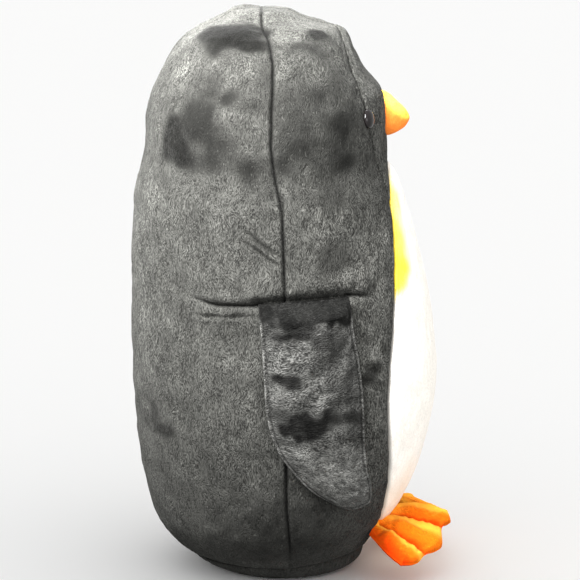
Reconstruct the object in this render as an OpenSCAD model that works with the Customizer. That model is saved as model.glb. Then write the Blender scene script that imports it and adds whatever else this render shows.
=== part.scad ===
// Plush penguin: sewn plush skin over loose fibre filling, with two swinging wings and two flexing feet.
// Z is up, the flat base lies on Z = 0 and the face looks towards -Y. The penguin's right side is at -X.

/* [Body] */
// Height of the toy, from the flat base to the crown
toy_h = 300; // [285:1:320]
// Greatest width across both flanks
body_w = 162; // [154:1:172]
// Greatest depth from the side seams forward, at the belly
front_d = 83; // [79:1:88]
// Greatest depth from the side seams back
back_d = 79; // [75:1:84]
// Thickness of the plush with its pile
plush_t = 2; // [1.5:0.1:2.4]
// Clearance between the skin and the filling
fill_gap = 0.8; // [0.7:0.1:1.2]

/* [Eyes] */
// Diameter of the glossy eye dome
eye_d = 10; // [8:0.5:11]
// Diameter of the post behind the dome
post_d = 3; // [2.5:0.1:3.5]
// Length of the post
post_len = 13; // [10:0.5:16]
// Diameter of the locking washer on the post
washer_d = 13; // [11:0.5:14]
// Thickness of the locking washer
washer_t = 1.2; // [1:0.1:1.5]

/* [Beak] */
// Width of the beak where it leaves the face
beak_w = 27; // [24:1:30]
// Height of the beak where it leaves the face
beak_h = 25; // [22:1:28]
// Length of the beak in front of the face
beak_len = 12.5; // [11:0.5:16]

/* [Wings] */
// Greatest thickness of a wing's outer half, from its edge seam outward
wing_outer_h = 4.6; // [3.5:0.1:5.5]
// Greatest thickness of a wing's inner half, from its edge seam towards the body
wing_inner_h = 3.8; // [3:0.1:4.2]
// Distance of the wing's edge seam from the flank
wing_stand_off = 5.2; // [5:0.1:6]

/* [Feet] */
// Width of a foot along its root seam
foot_root_w = 33; // [30:1:36]
// Half of a foot's greatest thickness
foot_half_t = 4.8; // [4:0.1:5.5]
// Diameter of the thread that divides the toes
thread_d = 0.8; // [0.6:0.1:1]

/* [Label] */
// Width of the blank care label in the back seam
label_w = 22; // [16:1:28]
// Length of the care label below its seam
label_len = 30; // [20:1:40]

/* [Hidden] */

charcoal = [0.30, 0.30, 0.30];
belly_white = [0.95, 0.93, 0.88];
beak_orange = [1.0, 0.62, 0.20];
foot_orange = [0.98, 0.48, 0.10];
fibre_white = [0.97, 0.97, 0.97];
eye_black = [0.03, 0.03, 0.03];
nylon_clear = [0.85, 0.85, 0.82];
label_white = [0.98, 0.98, 0.96];

// Rings of the body from the flat base to the crown, for a toy 300 mm tall:
// [height, rise of the ring's front, seam position in Y, front depth, back depth, half width, front seam angle]
rings = [
    [0, 0, 0, 33, 38, 37, 34],
    [4, 0, 0, 41, 46, 45, 34],
    [13, 4, 0, 49, 54, 54, 34],
    [33, 4, 0, 63, 69, 70, 36.5],
    [62, 2, 1, 75, 76, 77, 42.5],
    [105, 0, 2, 83, 79, 81, 49.5],
    [155, 0, 4, 79, 77, 79, 39.5],
    [200, 0, 6, 69, 73, 75, 26],
    [223, 0, 8, 62, 66, 71, 24],
    [250, 0, 9, 61, 62, 66, 31.5],
    [276, 0, 11, 49, 48, 53, 24],
    [291, 0, 12, 36, 33, 36, 0],
    [298, 0, 12, 15, 15, 18, 0],
    [300, 0, 12, 0, 0, 0, 0]
];
last_ring = len(rings) - 1;
base_ring = 2;         // the base panel's seam
chin_ring = 7;         // where the belly, the face gusset and the flanks meet
chin_rise = 0.8;       // how far the chin seam arches up, in rings
gusset_ring = 11;      // top corner of the face gusset
ring_scale = [
    toy_h / rings[last_ring][0],
    toy_h / rings[last_ring][0],
    1,
    front_d / max([for (r = rings) r[3]]),
    back_d / max([for (r = rings) r[4]]),
    body_w / 2 / max([for (r = rings) r[5]]),
    1
];
height_k = ring_scale[0];

// Grid steps of the skin panels
steps_per_ring = 3;
belly_cols = 12;
flank_cols = 6;
back_cols = 8;
filling_cols = 40;

// Point that the skin thickens towards: the nearest point of the body's core line
core_y = 4;
core_low = 60;
core_high = 235;

// Eyes sit on the gusset seams
eye_ring = 8.82;
eye_angle = 31.9;
eye_lift = 0.15;       // the dome's back stands clear of the curved skin
washer_depth = 3.2;    // the washer's outer face lies under the skin
pocket_gap = 0.6;

// Beak, from its root on the face to its tip
beak_z = 243.5 * height_k;
beak_drop = 3;         // how much lower the tip is than the middle of the root
beak_clear = 0.3;
beak_rows = 8;
beak_cols = 24;

// Wing outline, root to tip: [height of rear edge, angle of rear edge, height of front edge, angle of front edge]
wing_rows = [
    [157, 96.6, 162.5, 65],
    [141, 95.8, 147, 64.2],
    [118, 95.6, 127, 62.7],
    [98, 94.4, 108, 61.6],
    [81, 90.6, 90, 61.5],
    [68, 84.5, 74, 59.5],
    [56, 76, 61, 57.8],
    [48.5, 66, 51, 58.5]
];
wing_hinge_rear = [159, 96.6];  // height and angle of the sewn slit's rear end
wing_hinge_front = [164.5, 65]; // and of its front end
wing_hinge_out = 5.4;          // distance of the fold line from the flank
wing_flat = 0.28;              // part of the wing that leaves the straight root before it hugs the flank
wing_seam = 0.06;              // sewn margin round the filling, as a part of the width
wing_cols = [0, 0.06, 0.13, 0.23, 0.36, 0.5, 0.64, 0.77, 0.87, 0.94, 1];
wing_steps = [0, 0.06, 0.12, 0.2, 0.3, 0.4, 0.5, 0.6, 0.7, 0.78, 0.85, 0.91, 0.95, 1];

// Foot: a fan of three toes in one tilted plane. Its root runs from near the middle of the belly outward.
foot_inner = [-13, -62.3, 36.1] * height_k;
foot_root_dir = unit([-27, 14.7, -11.6]);
foot_plane_n = unit([-0.497, -0.266, 0.826]);
foot_toe_dir = cross(foot_root_dir, foot_plane_n) * -1;
foot_start = 3.4;              // distance of the pad's root from the belly seam
foot_fold = 1.9;               // distance of the fold line from the belly seam
foot_left_lower = 4;           // the left foot is sewn on this much lower than the right one
foot_left_droop = 12;          // and hangs this many degrees lower
foot_tip_line = [[-10, 24], [-4.3, 28.6], [2.7, 26.6], [15.5, 32.3], [26.6, 27.6], [34.8, 26.6], [41.5, 20.5]];
foot_side_bulge = [-4.5, 1.5]; // how far the inner and outer edges belly out
foot_seam = 0.05;
foot_cols = [0, 0.05, 0.11, 0.17, 0.23, 0.28, 0.3333, 0.39, 0.44, 0.5, 0.56, 0.61, 0.6667, 0.72, 0.77, 0.83,
             0.89, 0.95, 1];
foot_steps = [0, 0.07, 0.17, 0.3, 0.45, 0.6, 0.74, 0.86, 0.94, 1];
thread_lift = 0.5;             // the thread lies this far over the valley between two toes
thread_steps = [0.12, 0.22, 0.32, 0.42, 0.52, 0.62, 0.72, 0.82, 0.92];

label_t = 0.7;
label_gap = 1.2;

// ---- Small helpers ----

function unit(v) = v / norm(v);
function mix(a, b, k) = a + (b - a) * k;
function clamp01(x) = min(max(x, 0), 1);
function smooth(x) = let (k = clamp01(x)) k * k * (3 - 2 * k);

// Smooth curve through a list of rows, where x counts rows from 0
function spline(rows, before, after, x) =
    let (
        last = len(rows) - 1,
        i = min(floor(x), last - 1),
        s = x - i,
        p0 = i > 0 ? rows[i - 1] : before,
        p1 = rows[i],
        p2 = rows[i + 1],
        p3 = i + 2 <= last ? rows[i + 2] : after
    )
    0.5 * (2 * p1 + (p2 - p0) * s + (2 * p0 - 5 * p1 + 4 * p2 - p3) * s * s
           + (3 * p1 - p0 - 3 * p2 + p3) * s * s * s);

// The same with straight run-outs at both ends
function curve(rows, x) =
    let (n = len(rows)) spline(rows, 2 * rows[0] - rows[1], 2 * rows[n - 1] - rows[n - 2], x);

// ---- Body surface ----

crown_mirror = [for (k = [0:6]) rings[last_ring - 1][k] * (k > 2 && k < 6 ? -1 : 1)];

function ring(x) =
    let (row = spline(rings, 2 * rings[0] - rings[1], crown_mirror, clamp01(x / last_ring) * last_ring))
    [for (k = [0:6]) row[k] * ring_scale[k]];

// Ring count at a height, for a toy of this size
function ring_at(z, i = 0) =
    let (low = rings[i][0] * height_k, high = rings[i + 1][0] * height_k)
    z <= high || i == last_ring - 1 ? i + (z - low) / (high - low) : ring_at(z, i + 1);

// Angle of the seam between the flank and the belly or the gusset; 0 is straight ahead, 90 is the side seam
function seam_angle(x) = x >= gusset_ring ? 0 : max(ring(x)[6], 0);

// Point of the body at a ring count and an angle (negative on the penguin's right), moved inward by depth
function skin(x, angle, depth = 0) =
    let (
        r = ring(x),
        reach = cos(angle) > 0 ? r[3] : r[4],
        p = [r[5] * sin(angle), r[2] - reach * cos(angle), r[0] + r[1] * cos(angle)],
        core = [0, core_y, min(max(p[2], core_low * height_k), core_high * height_k)]
    )
    depth == 0 ? p : p + unit(core - p) * depth;

function skin_normal(x, angle) =
    let (e = 0.05)
    unit(cross(skin(x, angle + 1) - skin(x, angle - 1), skin(x + e, angle) - skin(x - e, angle)));

// ---- Solids from grids of points ----

function flat_list(rows) = [for (row = rows) each row];

function thin(points, face) =
    norm(points[face[0]] - points[face[1]]) < 1e-5 || norm(points[face[1]] - points[face[2]]) < 1e-5
    || norm(points[face[2]] - points[face[0]]) < 1e-5;

// Whether both layers meet at all three corners of a triangle
function sewn(points, face, size) =
    max([for (k = face) norm(points[k] - points[size + k])]) < 1e-5;

// Closed solid between an outer and an inner grid, walled along all four sides, or round when closed is set
module layered(outer, inner, closed = false) {
    rows = len(outer);
    cols = len(outer[0]);
    size = rows * cols;
    points = concat(flat_list(outer), flat_list(inner));
    wrap = closed ? cols : cols - 1;
    function at(i, j) = i * cols + j % cols;
    skins = [
        for (i = [0:rows - 2], j = [0:wrap - 1])
            let (a = at(i, j), b = at(i, j + 1), c = at(i + 1, j), d = at(i + 1, j + 1))
            each [for (t = [[a, b, d], [a, d, c]])
                if (!sewn(points, t, size)) each [t, [size + t[0], size + t[2], size + t[1]]]]
    ];
    side_walls = closed ? [] : [
        for (i = [0:rows - 2])
            let (a = at(i, 0), c = at(i + 1, 0), b = at(i, cols - 1), d = at(i + 1, cols - 1))
            each [[a, c, size + c], [a, size + c, size + a], [b, size + d, d], [b, size + b, size + d]]
    ];
    end_walls = [
        for (j = [0:wrap - 1])
            let (a = at(0, j), b = at(0, j + 1), c = at(rows - 1, j), d = at(rows - 1, j + 1))
            each [[a, size + b, b], [a, size + a, size + b], [c, d, size + d], [c, size + d, size + c]]
    ];
    faces = [for (f = concat(skins, side_walls, end_walls)) if (!thin(points, f)) f];
    polyhedron(points, faces, convexity = 6);
}

// Closed solid from one round grid, whose first and last rows are single points
module round_solid(grid) {
    rows = len(grid);
    cols = len(grid[0]);
    points = flat_list(grid);
    faces = [
        for (i = [0:rows - 2], j = [0:cols - 1])
            let (a = i * cols + j, b = i * cols + (j + 1) % cols, c = a + cols, d = b + cols)
            each [for (f = [[a, b, d], [a, d, c]]) if (!thin(points, f)) f]
    ];
    polyhedron(points, faces, convexity = 4);
}

module mirrored(side) {
    if (side == "left")
        mirror([1, 0, 0]) children();
    else
        children();
}

// Puts the children's Z axis along a direction at a point
module stand(point, direction) {
    translate(point)
        rotate([0, acos(direction[2]), atan2(direction[1], direction[0])])
            children();
}

// ---- Skin panels ----

// Rows of ring counts for a panel between two rings
function ring_steps(low, high) =
    let (n = round((high - low) * steps_per_ring)) [for (k = [0:n]) low + (high - low) * k / n];

// Panel between two seams, whose angles are functions of the ring count
module skin_panel(low, high, from_angle, to_angle, cols) {
    function layer(depth) = [
        for (x = ring_steps(low, high))
            [for (j = [0:cols]) skin(x, mix(from_angle(x), to_angle(x), j / cols), depth)]
    ];
    layered(layer(0), layer(plush_t));
}

// The eye on the penguin's right: place and direction
eye_point = skin(eye_ring, -eye_angle);
eye_dir = skin_normal(eye_ring, -eye_angle);

module eye_holes() {
    for (side = ["right", "left"])
        mirrored(side)
            stand(eye_point, eye_dir)
                translate([0, 0, -3 * plush_t])
                    cylinder(d = post_d + 0.4, h = 5 * plush_t, $fn = 32);
}

module back_panel(side) {
    color(charcoal)
        mirrored(side)
            skin_panel(base_ring, last_ring, function(x) -180, function(x) -90, back_cols);
}

module flank_panel(side) {
    color(charcoal)
        difference() {
            mirrored(side)
                skin_panel(base_ring, last_ring, function(x) -90, function(x) -seam_angle(x), flank_cols);
            eye_holes();
        }
}

// Ring count of the chin seam, where across runs from -1 to 1 between the two front seams
function chin_line(across) = chin_ring + chin_rise * (1 - across * across);

// Panel in the middle of the front, between two lines that may arch
module front_panel(low_line, high_line, rows) {
    function layer(depth) = [
        for (i = [0:rows]) [
            for (j = [0:belly_cols])
                let (
                    across = 2 * j / belly_cols - 1,
                    x = mix(low_line(across), high_line(across), i / rows)
                )
                skin(x, across * seam_angle(x), depth)
        ]
    ];
    layered(layer(0), layer(plush_t));
}

module face_gusset() {
    color(charcoal)
        difference() {
            front_panel(
                function(across) chin_line(across),
                function(across) gusset_ring,
                (gusset_ring - chin_ring) * steps_per_ring
            );
            eye_holes();
        }
}

module belly_panel() {
    color(belly_white)
        front_panel(
            function(across) base_ring,
            function(across) chin_line(across),
            (chin_ring - base_ring) * steps_per_ring
        );
}

// Angles all round the base seam, matching the columns of the panels above it
base_angles = let (seam = seam_angle(base_ring)) concat(
    [for (j = [0:back_cols - 1]) mix(-180, -90, j / back_cols)],
    [for (j = [0:flank_cols - 1]) mix(-90, -seam, j / flank_cols)],
    [for (j = [0:belly_cols - 1]) mix(-seam, seam, j / belly_cols)],
    [for (j = [0:flank_cols - 1]) mix(seam, 90, j / flank_cols)],
    [for (j = [0:back_cols - 1]) mix(90, 180, j / back_cols)]
);

module base_panel() {
    function layer(depth) = concat(
        [[for (a = base_angles) [0, 0, depth]]],
        [for (x = ring_steps(0, base_ring)) [for (a = base_angles) skin(x, a, depth)]]
    );
    color(charcoal)
        layered(layer(0), layer(plush_t), closed = true);
}

module body_filling() {
    depth = plush_t + fill_gap;
    angles = [for (j = [0:filling_cols - 1]) 360 * j / filling_cols];
    grid = concat(
        [[for (a = angles) [0, 0, depth]]],
        [for (x = ring_steps(0, last_ring)) [for (a = angles) skin(x, a, depth)]]
    );
    color(fibre_white)
        difference() {
            round_solid(grid);
            for (side = ["right", "left"])
                mirrored(side)
                    stand(eye_point, eye_dir) {
                        pocket_floor = washer_depth + washer_t + pocket_gap;
                        translate([0, 0, -pocket_floor])
                            cylinder(d = washer_d + 2 * pocket_gap, h = 2 * pocket_floor, $fn = 48);
                        translate([0, 0, -post_len - pocket_gap])
                            cylinder(d = post_d + 2 * pocket_gap, h = post_len, $fn = 32);
                    }
        }
}

// ---- Eyes ----

module eye(side) {
    dome_r = eye_d / 2;
    color(eye_black)
        mirrored(side)
            stand(eye_point + eye_dir * eye_lift, eye_dir) {
                intersection() {
                    sphere(r = dome_r, $fn = 64);
                    translate([0, 0, dome_r])
                        cube(2 * dome_r, center = true);
                }
                translate([0, 0, -post_len])
                    cylinder(d = post_d, h = post_len + 1, $fn = 32);
            }
}

module eye_washer(side) {
    color(nylon_clear)
        mirrored(side)
            stand(eye_point, eye_dir)
                translate([0, 0, -washer_depth - washer_t])
                    difference() {
                        cylinder(d = washer_d, h = washer_t, $fn = 48);
                        translate([0, 0, -1])
                            cylinder(d = post_d + 0.1, h = washer_t + 2, $fn = 32);
                    }
}

// ---- Beak ----

// Y of the face at a place on it
function face_y(x, z) =
    let (r = ring(ring_at(z)), k = x / r[5])
    r[2] - r[3] * sqrt(max(1 - k * k, 0));

// Point of the beak from its root (along 0) to its tip (along 1), inset from its outer surface
function beak_point(along, angle, inset) =
    let (
        taper = pow(1 - pow(along, 1.6), 0.75),
        half_w = (beak_w / 2 - inset) * taper,
        half_h = (beak_h / 2 - inset) * taper,
        root_x = (beak_w / 2 - inset) * cos(angle),
        root_z = beak_z + (beak_h / 2 - inset) * sin(angle),
        root_y = face_y(root_x, root_z) - beak_clear,
        tip_y = face_y(0, beak_z) - beak_len + inset
    )
    [half_w * cos(angle), mix(root_y, tip_y, along), beak_z + half_h * sin(angle) - beak_drop * along];

function beak_layer(inset) = [
    for (i = [0:beak_rows]) [for (j = [0:beak_cols - 1]) beak_point(i / beak_rows, 360 * j / beak_cols, inset)]
];

module beak_shell() {
    color(beak_orange)
        layered(beak_layer(0), beak_layer(plush_t * 0.8), closed = true);
}

module beak_filling() {
    inset = plush_t * 0.8 + fill_gap;
    root = [[for (j = [0:beak_cols - 1]) [0, face_y(0, beak_z) - 3 * beak_clear, beak_z]]];
    color(fibre_white)
        round_solid(concat(root, beak_layer(inset)));
}

// ---- Wings ----

function wing_edge(b) = curve(wing_rows, b * (len(wing_rows) - 1));

// Ends of the line that the wing folds about
wing_axis_rear = skin(ring_at(wing_hinge_rear[0] * height_k), -wing_hinge_rear[1], -wing_hinge_out);
wing_axis_front = skin(ring_at(wing_hinge_front[0] * height_k), -wing_hinge_front[1], -wing_hinge_out);

// Point of the wing: a runs from its rear to its front edge, b from root to tip, lift outward from the edge seam
function wing_point(a, b, lift) =
    let (
        e = wing_edge(b),
        z = mix(e[0], e[2], a) * height_k,
        x = ring_at(z),
        angle = -mix(e[1], e[3], a),
        out = skin_normal(x, angle),
        hugging = skin(x, angle) + out * wing_stand_off,
        hanging = mix(wing_axis_rear, wing_axis_front, a) * [[1, 0, 0], [0, 1, 0], [0, 0, 0]] + [0, 0, z]
    )
    mix(hanging, hugging, smooth(b / wing_flat)) + out * lift;

// Thickness profile from 0 at the edges to 1 in the middle
function wing_crown(a, b) =
    pow(max(1 - pow(abs(2 * a - 1), 4), 0), 0.5) * pow(max(1 - pow(b, 6), 0), 0.5);

function wing_lift(a, b, full, root) = wing_crown(a, b) * mix(root, full, smooth(b / (2 * wing_flat)));

// The same for the hollow inside, which stops at the sewn margin
function wing_hollow(a, b, full) =
    let (
        a_in = (a - wing_seam) / (1 - 2 * wing_seam),
        b_in = (b - wing_seam) / (0.95 - wing_seam)
    )
    a_in <= 0.001 || a_in >= 0.999 || b_in <= 0.001 || b_in >= 0.999 ? 0
    : (full - plush_t * 0.7) * smooth(b / (2 * wing_flat)) * pow(1 - pow(abs(2 * a_in - 1), 4), 0.5)
      * pow(1 - pow(b_in, 6), 0.5);

wing_root_outer = 1.3;
wing_root_inner = 0.7;

function wing_layer(sign, full, root, hollow) = [
    for (b = wing_steps) [
        for (a = wing_cols)
            wing_point(a, b, sign * (hollow ? wing_hollow(a, b, full) : wing_lift(a, b, full, root)))
    ]
];

module wing_outer(side) {
    color(charcoal)
        mirrored(side)
            layered(
                wing_layer(1, wing_outer_h, wing_root_outer, false),
                wing_layer(1, wing_outer_h, wing_root_outer, true)
            );
}

module wing_inner(side) {
    color(charcoal)
        mirrored(side)
            layered(
                wing_layer(-1, wing_inner_h, wing_root_inner, true),
                wing_layer(-1, wing_inner_h, wing_root_inner, false)
            );
}

module wing_filling(side) {
    fill = 0.88;
    inner_steps = [for (b = wing_steps) if (b >= wing_seam - 0.001 && b < 0.951) b];
    inner_cols = [for (a = wing_cols) if (a > 0.059 && a < 0.941) a];
    function layer(sign, full) = [
        for (b = inner_steps) [for (a = inner_cols) wing_point(a, b, sign * fill * wing_hollow(a, b, full))]
    ];
    color(fibre_white)
        mirrored(side)
            layered(layer(1, wing_outer_h), layer(-1, wing_inner_h));
}

// ---- Feet ----

// Point of the foot: a runs from its inner to its outer edge, b from root to toe tips, lift up from its edge seam
function foot_point(a, b, lift) =
    let (
        tip = curve(foot_tip_line, a * (len(foot_tip_line) - 1)),
        root = [foot_root_w * a, foot_start],
        bulge = mix(foot_side_bulge[0], foot_side_bulge[1], a) * sin(180 * b) * pow(abs(2 * a - 1), 2),
        p = mix(root, tip, b) + [bulge, 0]
    )
    foot_inner + foot_root_dir * p[0] + foot_toe_dir * p[1] + foot_plane_n * lift;

// Point of the line that a foot folds about
foot_axis_point = foot_inner + foot_toe_dir * foot_fold;

module foot_place(side) {
    mirrored(side) {
        if (side == "left")
            translate(foot_axis_point - [0, 0, foot_left_lower])
                rotate(a = -foot_left_droop, v = foot_root_dir)
                    translate(-foot_axis_point)
                        children();
        else
            children();
    }
}

function toe_crown(a) = 0.62 + 0.38 * pow(abs(sin(540 * a)), 0.8);

function foot_lift(a, b) =
    pow(max(1 - pow(abs(2 * a - 1), 8), 0), 0.5) * pow(max(1 - pow(b, 6), 0), 0.5)
    * mix(1.4, foot_half_t * toe_crown(a), smooth(b / 0.4));

function foot_hollow(a, b) =
    let (
        a_in = (a - foot_seam) / (1 - 2 * foot_seam),
        b_in = (b - 0.07) / (0.94 - 0.07)
    )
    a_in <= 0.001 || a_in >= 0.999 || b_in <= 0.001 || b_in >= 0.999 ? 0
    : pow(1 - pow(abs(2 * a_in - 1), 8), 0.5) * pow(1 - pow(b_in, 6), 0.5)
      * (foot_half_t * toe_crown(a) - plush_t * 0.7) * smooth(b / 0.4);

function foot_layer(sign, hollow) = [
    for (b = foot_steps) [
        for (a = foot_cols) foot_point(a, b, sign * (hollow ? foot_hollow(a, b) : foot_lift(a, b)))
    ]
];

module foot_top(side) {
    color(foot_orange)
        foot_place(side)
            layered(foot_layer(1, false), foot_layer(1, true));
}

module foot_sole(side) {
    color(foot_orange)
        foot_place(side)
            layered(foot_layer(-1, true), foot_layer(-1, false));
}

module foot_filling(side) {
    fill = 0.88;
    inner_steps = [for (b = foot_steps) if (b > 0.069 && b < 0.941) b];
    inner_cols = [for (a = foot_cols) if (a > 0.049 && a < 0.951) a];
    function layer(sign) = [
        for (b = inner_steps) [for (a = inner_cols) foot_point(a, b, sign * fill * foot_hollow(a, b))]
    ];
    color(fibre_white)
        foot_place(side)
            layered(layer(1), layer(-1));
}

// Two lines of thread that lie in the valleys between the toes
module toe_thread(side) {
    valleys = [1 / 3, 2 / 3];
    half_a = thread_d / 2 / foot_root_w;
    function layer(a, lift) = [
        for (b = thread_steps) [for (s = [-1, 1]) foot_point(a + s * half_a, b, foot_lift(a, b) + lift)]
    ];
    color(foot_orange * 0.8)
        foot_place(side)
            for (a = valleys)
                layered(layer(a, thread_lift + thread_d), layer(a, thread_lift));
}

// ---- Label ----

// Blank folded label in the seam between the left flank and back, hanging against the body
module care_label() {
    half = label_w / 2;
    function layer(out) = [
        for (z = [label_len + 18, 18 + label_len / 2, 18])
            [for (s = [-half, 0, half]) label_point(s, z, out)]
    ];
    color(label_white)
        layered(layer(label_gap + label_t), layer(label_gap));
}

function label_point(s, z, out) =
    let (x = ring_at(z * height_k), angle = 90 + 8 + s * 0.72)
    skin(x, angle) + skin_normal(x, angle) * out;

back_panel("right");  // back_panel_right
back_panel("left");  // back_panel_left
flank_panel("right");  // flank_panel_right
flank_panel("left");  // flank_panel_left
face_gusset();
belly_panel();
base_panel();
body_filling();
beak_shell();
beak_filling();
eye("right");  // eye_right
eye("left");  // eye_left
eye_washer("right");  // eye_washer_right
eye_washer("left");  // eye_washer_left
wing_outer("right");  // wing_outer_right
wing_inner("right");  // wing_inner_right
wing_filling("right");  // wing_filling_right
wing_outer("left");  // wing_outer_left
wing_inner("left");  // wing_inner_left
wing_filling("left");  // wing_filling_left
foot_top("right");  // foot_top_right
foot_sole("right");  // foot_sole_right
foot_filling("right");  // foot_filling_right
toe_thread("right");  // toe_thread_right
foot_top("left");  // foot_top_left
foot_sole("left");  // foot_sole_left
foot_filling("left");  // foot_filling_left
toe_thread("left");  // toe_thread_left
care_label();
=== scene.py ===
import math

import bmesh
import bpy
import numpy as np
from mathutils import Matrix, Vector


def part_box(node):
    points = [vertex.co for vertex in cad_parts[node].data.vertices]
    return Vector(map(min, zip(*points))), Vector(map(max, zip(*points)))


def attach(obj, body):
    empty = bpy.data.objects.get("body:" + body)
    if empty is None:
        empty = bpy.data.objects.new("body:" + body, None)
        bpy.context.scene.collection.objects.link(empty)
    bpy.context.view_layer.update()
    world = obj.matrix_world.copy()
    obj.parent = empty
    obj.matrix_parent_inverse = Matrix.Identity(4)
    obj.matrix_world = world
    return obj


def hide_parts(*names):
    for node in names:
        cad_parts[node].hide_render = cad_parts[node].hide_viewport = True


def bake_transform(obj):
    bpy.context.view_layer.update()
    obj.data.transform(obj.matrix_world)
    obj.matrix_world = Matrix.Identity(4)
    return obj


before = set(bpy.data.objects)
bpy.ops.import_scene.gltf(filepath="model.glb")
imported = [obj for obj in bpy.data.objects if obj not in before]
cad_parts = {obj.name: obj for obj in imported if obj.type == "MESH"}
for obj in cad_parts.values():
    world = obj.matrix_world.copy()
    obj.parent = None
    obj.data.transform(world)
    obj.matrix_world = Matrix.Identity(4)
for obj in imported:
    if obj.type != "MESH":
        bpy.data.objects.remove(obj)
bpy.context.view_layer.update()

MM = 0.001
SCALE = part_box("back_panel_right")[1].z / 0.3   # the rings below are for a toy 300 mm tall

# --------------- body surface

# [height, rise of the front, seam position in Y, front depth, back depth, half width, front seam angle]
RINGS = np.array([
    [0, 0, 0, 33, 38, 37, 22],
    [4, 0, 0, 41, 46, 45, 23],
    [13, 4, 0, 49, 54, 54, 22],
    [33, 4, 0, 63, 69, 70, 34],
    [62, 2, 1, 75, 76, 77, 41],
    [105, 0, 2, 83, 79, 81, 46.8],
    [155, 0, 4, 79, 77, 79, 38.5],
    [200, 0, 6, 69, 73, 75, 26],
    [223, 0, 8, 62, 66, 71, 24],
    [250, 0, 9, 61, 62, 66, 31.5],
    [276, 0, 11, 49, 48, 53, 24],
    [291, 0, 12, 36, 33, 36, 0],
    [298, 0, 12, 15, 15, 18, 0],
    [300, 0, 12, 0, 0, 0, 0],
], float)
LAST = len(RINGS) - 1
BASE_RING = 1.62
CHIN_RING, CHIN_RISE = 7.0, 0.8
GUSSET_RING = 11.0


def spline(rows, before, after, x):
    """Smooth curve through rows, where x counts rows from 0."""
    x = np.asarray(x, float)
    padded = np.vstack([before, rows, after])
    i = np.clip(np.floor(x).astype(int), 0, len(rows) - 2)
    s = (x - i)[..., None]
    p0, p1, p2, p3 = (padded[i + k] for k in range(4))
    return 0.5 * (2 * p1 + (p2 - p0) * s + (2 * p0 - 5 * p1 + 4 * p2 - p3) * s ** 2
                  + (3 * p1 - p0 - 3 * p2 + p3) * s ** 3)


def curve(rows, x):
    rows = np.asarray(rows, float)
    return spline(rows, 2 * rows[0] - rows[1], 2 * rows[-1] - rows[-2], x)


CROWN_MIRROR = RINGS[LAST - 1] * np.array([1, 1, 1, -1, -1, -1, 1])


def ring(x):
    return spline(RINGS, 2 * RINGS[0] - RINGS[1], CROWN_MIRROR, np.clip(x, 0, LAST))


_xs = np.linspace(0, LAST, 2601)
_zs = np.maximum.accumulate(ring(_xs)[:, 0])


def ring_at(z):
    return np.interp(z, _zs, _xs)


def seam_angle(x):
    return np.where(np.asarray(x) >= GUSSET_RING, 0.0, np.maximum(ring(x)[..., 6], 0.0))


# [ring count, degrees by which the side seam wanders forward of the widest line]
SIDE_WANDER = np.array([
    [0, 3.4], [1.9, 3.4], [2.9, 2.5], [3.6, 1.6], [5, 2.3], [6, 3.4], [7.1, 4.7],
    [8, 3.0], [8.5, 2.0], [9.1, 3.0], [10, 6.8], [10.7, 6.0], [11.5, 2.5], [13, 0],
])


def side_angle(x):
    return 90 - np.interp(x, SIDE_WANDER[:, 0], SIDE_WANDER[:, 1])


def skin(x, phi):
    """Point of the smooth body in mm; phi in degrees, 0 straight ahead, negative on the penguin's right."""
    x, phi = np.broadcast_arrays(np.asarray(x, float), np.asarray(phi, float))
    r, t = ring(x), np.radians(phi)
    c = np.cos(t)
    reach = np.where(c > 0, r[..., 3], r[..., 4])
    return np.stack([r[..., 5] * np.sin(t), r[..., 2] - reach * c, r[..., 0] + r[..., 1] * c], -1)


def skin_at(z, phi):
    """Point of the smooth body at heights in mm instead of ring counts."""
    return skin(ring_at(z), np.array(phi))


def unit(v):
    return v / np.maximum(np.linalg.norm(v, axis=-1, keepdims=True), 1e-9)


def skin_normal(x, phi):
    x = np.clip(np.asarray(x, float), 0.03, LAST - 0.03)
    e = 0.03
    return unit(np.cross(skin(x, phi + 1) - skin(x, phi - 1), skin(x + e, phi) - skin(x - e, phi)))


def smooth(k):
    k = np.clip(k, 0, 1)
    return k * k * (3 - 2 * k)


# --------------- noise and distances

_lattices = {}


def noise(p, size, seed=0):
    """Smooth random field between -1 and 1 with blobs of the given size (a number or one per axis)."""
    if seed not in _lattices:
        _lattices[seed] = np.random.RandomState(seed + 11).uniform(-1, 1, (32, 32, 32))
    g = _lattices[seed]
    q = np.asarray(p, float) / size
    i = np.floor(q).astype(int)
    f = q - i
    f = f * f * (3 - 2 * f)
    out = 0
    for dx in (0, 1):
        for dy in (0, 1):
            for dz in (0, 1):
                w = np.abs(1 - dx - f[..., 0]) * np.abs(1 - dy - f[..., 1]) * np.abs(1 - dz - f[..., 2])
                out = out + w * g[(i[..., 0] + dx) % 32, (i[..., 1] + dy) % 32, (i[..., 2] + dz) % 32]
    return out


def noise_vector(p, size, seed):
    return np.stack([noise(p, size, seed + k) for k in range(3)], -1)


def distance_to(p, line):
    """Distance in mm from each point to a polyline, and how far along it the nearest place is (0 to 1)."""
    line = np.asarray(line, float)
    best = np.full(p.shape[:-1], 1e9)
    along = np.zeros(p.shape[:-1])
    lengths = np.linalg.norm(np.diff(line, axis=0), axis=1)
    total, before = lengths.sum(), 0.0
    for a, b, length in zip(line[:-1], line[1:], lengths):
        t = np.clip(((p - a) @ (b - a)) / max(length ** 2, 1e-9), 0, 1)
        d = np.linalg.norm(p - (a + t[..., None] * (b - a)), axis=-1)
        closer = d < best
        best = np.where(closer, d, best)
        along = np.where(closer, (before + t * length) / max(total, 1e-9), along)
        before += length
    return best, along


def bell(d, width):
    return np.exp(-(d / width) ** 2)


# --------------- the cloth simulation

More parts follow.
